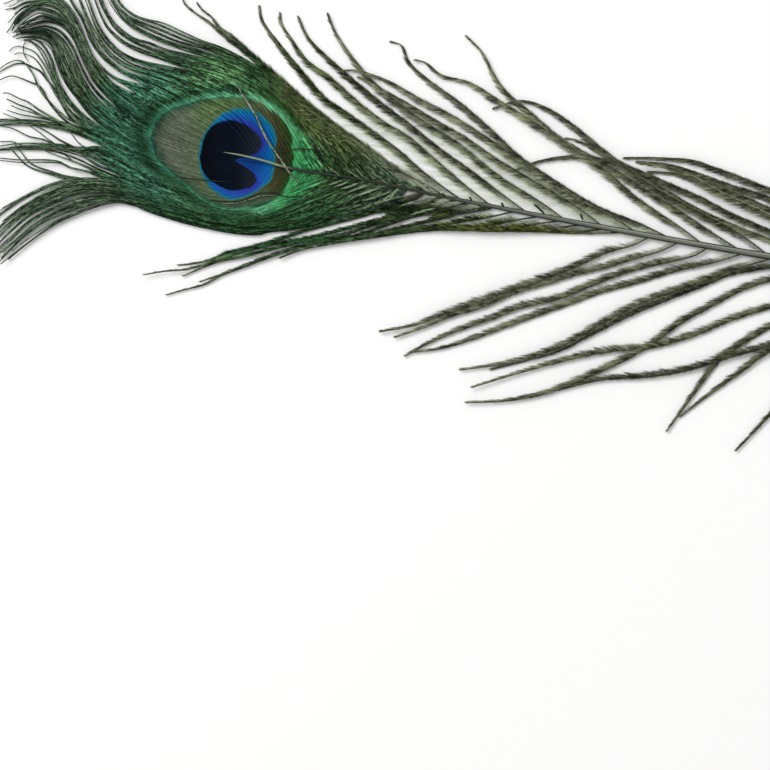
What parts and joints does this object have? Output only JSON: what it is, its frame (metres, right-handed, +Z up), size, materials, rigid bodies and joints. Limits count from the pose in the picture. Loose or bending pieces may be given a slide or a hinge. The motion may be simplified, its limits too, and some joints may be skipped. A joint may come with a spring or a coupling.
{
  "type": "peacock feather",
  "caption": "Loose peacock tail feather with an eye, lying face up: fine shaft to a cut quill, closed eye vane and long loose barbs on both sides.",
  "frame": {"origin": "on the resting surface, under the middle of the eye", "axes": "+X along the feather towards the cut quill, +Y towards the side of the fuller vane, +Z up out of the face of the eye"},
  "size_m": [0.302, 0.1333, 0.0033],
  "materials": {
    "barbs": "dark olive-green barbs with a soft iridescent sheen",
    "eye": "iridescent eye: dark blue heart, bright blue ring, bronze zone and green rims",
    "quill": "satin horn, grey-brown to ivory at the cut end"
  },
  "bodies": {
    "root": {"feather": "barbs"}
  },
  "joints": []
}
